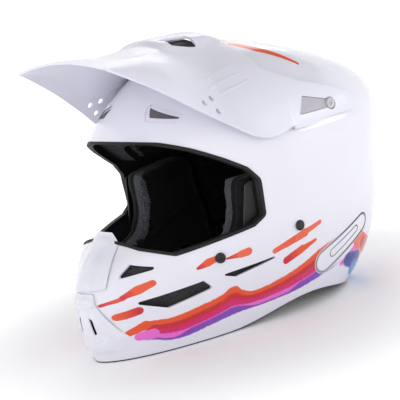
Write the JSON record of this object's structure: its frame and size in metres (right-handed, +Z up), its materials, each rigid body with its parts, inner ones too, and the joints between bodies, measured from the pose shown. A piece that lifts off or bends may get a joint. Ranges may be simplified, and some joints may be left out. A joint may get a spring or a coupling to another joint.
{
  "type": "motocross helmet",
  "caption": "Full-face off-road riding helmet with a long tilting sun peak, open eye port, vented chin bar, padded liner and buckle strap.",
  "frame": {"origin": "middle of the helmet's plan, on the plane its neck edge stands on", "axes": "+Z up through the crown, the face looks along -Y, +X is the wearer's left"},
  "size_m": [0.24, 0.3629, 0.279],
  "materials": {
    "white_shell": "glossy clear coat over white",
    "white_peak": "gloss moulded plastic",
    "white_trim": "satin moulded plastic",
    "black_rubber": "matte",
    "liner_foam": "dark expanded foam",
    "liner_fabric": "brushed knit",
    "pad_fabric": "open mesh knit",
    "black_plastic": "moulded texture",
    "vent_mesh": "open mesh",
    "grey_plastic": "satin",
    "webbing": "woven polyester",
    "steel": "zinc plated"
  },
  "bodies": {
    "helmet": {"outer_shell": "white_shell", "neck_edge_trim": "black_rubber", "eye_port_trim": "black_rubber", "impact_liner": "liner_foam", "comfort_liner": "liner_fabric", "chin_foam": "liner_foam", "cheek_plate_left": "black_plastic", "cheek_plate_right": "black_plastic", "cheek_pad_left": "pad_fabric", "cheek_pad_right": "pad_fabric", "cheek_screws": "black_plastic", "neck_roll": "pad_fabric", "nose_guard": "white_trim", "mouth_vent_cover": "white_trim", "mouth_vent_mesh": "vent_mesh", "chin_vent_meshes": "vent_mesh", "brow_vent_inserts": "grey_plastic", "crown_vent_inserts": "vent_mesh", "rear_vent_grilles": "vent_mesh", "strap_anchors": "steel", "strap_rivets": "black_plastic", "chin_strap_left": "webbing", "chin_strap_right": "webbing", "strap_snap": "steel", "peak_screws": "steel", "peak_washers": "black_rubber", "peak_nuts": "steel"},
    "peak": {"peak": "white_peak", "peak_arm_inserts": "grey_plastic", "peak_scoop_meshes": "vent_mesh", "peak_bushings": "steel"},
    "inner_ring": {"d_ring_inner": "steel"},
    "outer_ring": {"d_ring_outer": "steel"}
  },
  "joints": [
    {"name": "peak_tilt", "type": "hinge", "parent": "helmet", "child": "peak", "pos_m": [0, 0.062, 0.189], "axis": [-1, 0, 0], "range_deg": [-2, 5]},
    {"name": "inner_ring_swing", "type": "hinge", "parent": "helmet", "child": "inner_ring", "pos_m": [0.034, 0.002, 0.038], "axis": [0, 1, 0], "range_deg": [-5, 45]},
    {"name": "outer_ring_swing", "type": "hinge", "parent": "helmet", "child": "outer_ring", "pos_m": [0.041, 0.002, 0.038], "axis": [0, -1, 0], "range_deg": [-5, 15]}
  ]
}
